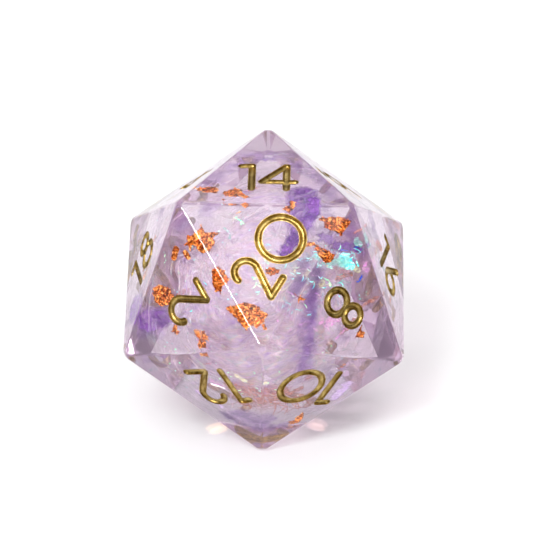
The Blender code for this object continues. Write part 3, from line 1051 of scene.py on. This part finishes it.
def film_material(name, stops, low_alpha, high_alpha, painted_glow):
    """Iridescent film, whose colours run with its creases. It gives off its colour as light, a
    painted stand-in for bright reflections.
    """
    material, tree, shader = start_material(name)
    place = millimetres(tree)
    hue = streaks(tree, place, (0.3, 0.5, 0.9), 2.0, 2.2, 4, 1.0)
    colour = ramp(tree, hue, stops)
    tree.links.new(colour, shader.inputs["Base Color"])
    # Painted reflection: the film gives off its own colour as light
    tree.links.new(colour, shader.inputs["Emission Color"])
    shader.inputs["Emission Strength"].default_value = painted_glow
    shader.inputs["Roughness"].default_value = 0.2
    patches = streaks(tree, place, (0.2, 0.1, 0.5), 2.5, 2.6, 6, 1.0)
    cover = spread(tree, patches, low_alpha, high_alpha, 0.4, 0.6)
    alpha = times(tree, cover, fade_value(tree, 0.6))
    tree.links.new(alpha, shader.inputs["Alpha"])
    bump(tree, shader, patches, 0.12 * MM)
    return material


def violet_material(name, thin, thick):
    """Violet film, dense in the middle of a patch and thin at its streaks."""
    material, tree, shader = start_material(name)
    place = millimetres(tree)
    tone = streaks(tree, place, (0.5, 0.3, 1.1), 3.0, 0.6)
    colour = ramp(tree, tone, [
        (0.30, (0.08, 0.008, 0.20)), (0.50, (0.15, 0.015, 0.32)), (0.72, (0.32, 0.09, 0.54)),
    ])
    tree.links.new(colour, shader.inputs["Base Color"])
    shader.inputs["Roughness"].default_value = 0.4
    alpha = times(tree, spread(tree, tone, thick, thin, 0.35, 0.7), fade_value(tree, 1.0))
    tree.links.new(alpha, shader.inputs["Alpha"])
    return material


def crease_value(tree, place, turn):
    """Sheaves of fine curved creases, here and there."""
    mapping = tree.nodes.new("ShaderNodeMapping")
    mapping.inputs["Rotation"].default_value = turn
    tree.links.new(place, mapping.inputs["Vector"])
    wave = tree.nodes.new("ShaderNodeTexWave")
    wave.inputs["Scale"].default_value = 0.5
    wave.inputs["Distortion"].default_value = 14
    wave.inputs["Detail"].default_value = 2
    wave.inputs["Detail Scale"].default_value = 0.35
    wave.inputs["Detail Roughness"].default_value = 0.5
    tree.links.new(mapping.outputs[0], wave.inputs["Vector"])
    lines = spread(tree, wave.outputs["Fac"], 0, 0.45, 0.8, 1.0)
    where = noise_value(tree, place, 0.28, detail=2)
    return times(tree, lines, spread(tree, where, 0, 1, 0.5, 0.64))


def veil_material(name, turn, low_alpha, high_alpha):
    """Pearly film: white and lilac with a breath of pink, blue and green, drawn out in streaks."""
    material, tree, shader = start_material(name)
    place = millimetres(tree)
    hue = streaks(tree, place, turn, 1.8, 0.35, 5, 1.5)
    colour = ramp(tree, hue, [
        (0.30, (0.40, 0.24, 0.72)), (0.40, (0.62, 0.52, 0.78)), (0.47, (0.82, 0.78, 0.82)),
        (0.53, (0.88, 0.66, 0.80)), (0.58, (0.86, 0.84, 0.62)), (0.63, (0.56, 0.84, 0.84)),
        (0.70, (0.78, 0.74, 0.88)),
    ])
    tree.links.new(colour, shader.inputs["Base Color"])
    shader.inputs["Roughness"].default_value = 0.28
    strands = streaks(tree, place, turn, 2.2, 0.25, 5, 1.6)
    creases = crease_value(tree, place, turn)
    both = plus(tree, spread(tree, strands, low_alpha, high_alpha, 0.4, 0.62), creases)
    tree.links.new(both, shader.inputs["Alpha"])
    bump(tree, shader, strands, 0.05 * MM)
    return material


# Stage


def make_floor():
    """A wide, flat and pale floor, just below the die."""
    shape = bmesh.new()
    bmesh.ops.create_grid(shape, x_segments=1, y_segments=1, size=FLOOR_HALF_SIZE)
    material, tree, shader = start_material("white_floor")
    shader.inputs["Base Color"].default_value = (0.795, 0.80, 0.798, 1)
    shader.inputs["Roughness"].default_value = 0.7
    floor = make_object("floor", shape, material)
    floor.location.z = -FLOOR_GAP


def make_world():
    """A bright studio behind and above, and a dim room on the camera's side."""
    world = bpy.data.worlds.new("studio")
    bpy.context.scene.world = world
    world.use_nodes = True
    tree = world.node_tree
    back = tree.nodes["Background"]
    place = tree.nodes.new("ShaderNodeTexCoord")
    facing = tree.nodes.new("ShaderNodeVectorMath")
    facing.operation = "DOT_PRODUCT"
    facing.inputs[1].default_value = Vector((0, 0.35, 0.94)).normalized()
    tree.links.new(place.outputs["Generated"], facing.inputs[0])
    level = spread(tree, facing.outputs["Value"], 0, 1, -0.2, 1.0)
    colour = ramp(tree, level, [
        (0.0, (0.06, 0.055, 0.06)), (0.38, (0.14, 0.13, 0.14)), (0.64, (0.75, 0.74, 0.75)),
        (0.82, (1.0, 1.0, 1.0)),
    ])
    tree.links.new(colour, back.inputs["Color"])
    back.inputs["Strength"].default_value = 0.72


def add_softbox(name, towards, distance, width, height, power, along):
    """A soft light in a direction from the die, facing it, with its width along a direction."""
    lamp = bpy.data.lights.new(name, "AREA")
    lamp.shape = "RECTANGLE"
    lamp.size = width
    lamp.size_y = height
    lamp.energy = power
    made = bpy.data.objects.new(name, lamp)
    bpy.context.scene.collection.objects.link(made)
    z_axis = Vector(towards).normalized()
    y_axis = z_axis.cross(Vector(along)).normalized()
    x_axis = y_axis.cross(z_axis)
    axes = Matrix((x_axis, y_axis, z_axis)).transposed()
    made.matrix_world = Matrix.Translation(CENTRE + z_axis * distance) @ axes.to_4x4()


def add_beam(name, place, towards, power, colour):
    """A thin beam on the floor, as light that the casting gathers."""
    lamp = bpy.data.lights.new(name, "SPOT")
    lamp.spot_size = math.radians(BEAM_ANGLE)
    lamp.spot_blend = 0.6
    lamp.shadow_soft_size = 0
    lamp.energy = power
    lamp.color = colour
    made = bpy.data.objects.new(name, lamp)
    bpy.context.scene.collection.objects.link(made)
    way = Vector(towards).normalized()
    made.location = Vector(place) * MM + way * BEAM_REACH
    made.rotation_mode = "QUATERNION"
    made.rotation_quaternion = way.to_track_quat("Z", "Y")


def make_lights():
    for softbox in SOFTBOXES:
        add_softbox(*softbox)
    for i, (x, y, power, colour) in enumerate(BEAMS):
        towards = (math.copysign(BEAM_WAY[0], x), *BEAM_WAY[1:])
        add_beam(f"beam_{i + 1}", (x, y, 0), towards, power, colour)


def make_camera():
    data = bpy.data.cameras.new("camera")
    data.sensor_width = 36
    data.lens = CAMERA_LENS
    data.clip_start = 0.01
    camera = bpy.data.objects.new("camera", data)
    bpy.context.scene.collection.objects.link(camera)
    bpy.context.scene.camera = camera
    turn = Matrix.Rotation(math.radians(CAMERA_TURN), 4, "Z")
    lean = Matrix.Rotation(math.radians(90 - CAMERA_ELEVATION), 4, "X")
    roll = Matrix.Rotation(math.radians(CAMERA_ROLL), 4, "Z")
    back = Matrix.Translation((0, 0, CAMERA_DISTANCE))
    camera.matrix_world = turn @ Matrix.Translation(CAMERA_TARGET) @ lean @ roll @ back


def set_look():
    scene = bpy.context.scene
    scene.view_settings.view_transform = "Standard"
    scene.cycles.max_bounces = 24
    scene.cycles.transmission_bounces = 24
    scene.cycles.volume_bounces = 4
    scene.cycles.glossy_bounces = 12
    scene.cycles.transparent_max_bounces = 32
    scene.cycles.caustics_refractive = True
    scene.cycles.caustics_reflective = False


# The die

NODES = list(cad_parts)
RESIN = resin_material()
GOLD = gold_material()
COPPER = copper_material()
VIOLET = violet_material("violet_film", 0.75, 1.0)
VIOLET_HAZE = violet_material("violet_haze", 0.05, 0.42)
VIOLET_SOFT = violet_material("violet_soft", 0.2, 0.75)
WISP_FINISHES = {"low": VIOLET_HAZE, "tall": VIOLET_SOFT}
FILMS = {
    name: film_material(f"film_{name}", list(zip(FILM_STOPS, colours)), *alphas, painted_glow)
    for name, (colours, alphas, painted_glow) in FILM_COLOURS.items()
}

body = make_body(RESIN)
keep(body, "clear_resin", *[node for node in NODES if node.startswith("resin_pour")])

for node, strokes, matrix in numeral_parts():
    keep(lining(f"{node}_lining", strokes, matrix, GOLD), "gold_paint", node)

for seed, node in enumerate(sorted(NODES)):
    if node.startswith("copper_flake"):
        sheet = crumpled_sheet(f"{node}_leaf", Outline(node), seed, FOIL_LEAF, COPPER)
        keep(sheet, "copper_foil", node)
    elif node.startswith("film_shard"):
        finish = FILMS[SHARD_COLOURS[node.removeprefix("film_shard_")]]
        sheet = crumpled_sheet(
            f"{node}_sheet", Outline(node), seed, FILM_SHEET, finish, 0.3 * MM
        )
        keep(sheet, "iridescent_film", node)
    elif node.startswith("violet_wisp"):
        finish = WISP_FINISHES.get(node.removeprefix("violet_wisp_"), VIOLET)
        sheet = crumpled_sheet(
            f"{node}_sheet", Outline(node), seed, VIOLET_SHEET, finish, 0.5 * MM
        )
        keep(sheet, "violet_film", node)

for colour, paths in SLIVERS.items():
    for i, (depth, half_width, *path) in enumerate(paths):
        shape_of = ribbon(depth, half_width, *path)
        name = f"film_sliver_{colour}_{i + 1}"
        seed = FIRST_SLIVER_SEED + i
        sheet = crumpled_sheet(name, shape_of, seed, FILM_SLIVER, FILMS[colour], 0.06 * MM)
        keep(sheet, "iridescent_film")

for finish, fade_width, paths in (
    (VIOLET_HAZE, 0.5 * MM, VIOLET_STREAKS), (VIOLET_SOFT, 0.7 * MM, VIOLET_TRAILS),
    (VIOLET, 0.3 * MM, VIOLET_BANDS), (FILMS["lilac"], 0.4 * MM, LILAC_PAINTED_LIGHT),
):
    for name, (depth, half_width, *path) in paths.items():
        shape_of = ribbon(depth, half_width, *path)
        sheet = crumpled_sheet(
            f"violet_streak_{name}", shape_of, len(name), VIOLET_STREAK, finish, fade_width
        )
        keep(sheet, "violet_film")

for name, (depth, half_width, *path) in CRUMBS.items():
    shape_of = ribbon(depth, half_width, *path)
    sheet = crumpled_sheet(f"copper_crumb_{name}", shape_of, len(name), FOIL_CRUMB, COPPER)
    keep(sheet, "copper_foil")

for seed, colour in enumerate(("green", "teal", "pink", "cyan")):
    glitter = make_glitter(f"film_glitter_{colour}", seed, FILMS[colour])
    keep(glitter, "iridescent_film")

for i, (colour, count, *spans) in enumerate(THREADS):
    threads = make_threads(f"film_threads_{i + 1}", count, i, *spans, FILMS[colour])
    keep(threads, "iridescent_film")

for name, depth, reach, turn, low_alpha, high_alpha in VEILS:
    finish = veil_material(f"{name}_film", turn, low_alpha, high_alpha)
    keep(make_veil(name, depth, reach, depth / MM, finish), "iridescent_film")

make_floor()
make_world()
make_lights()
make_camera()
set_look()
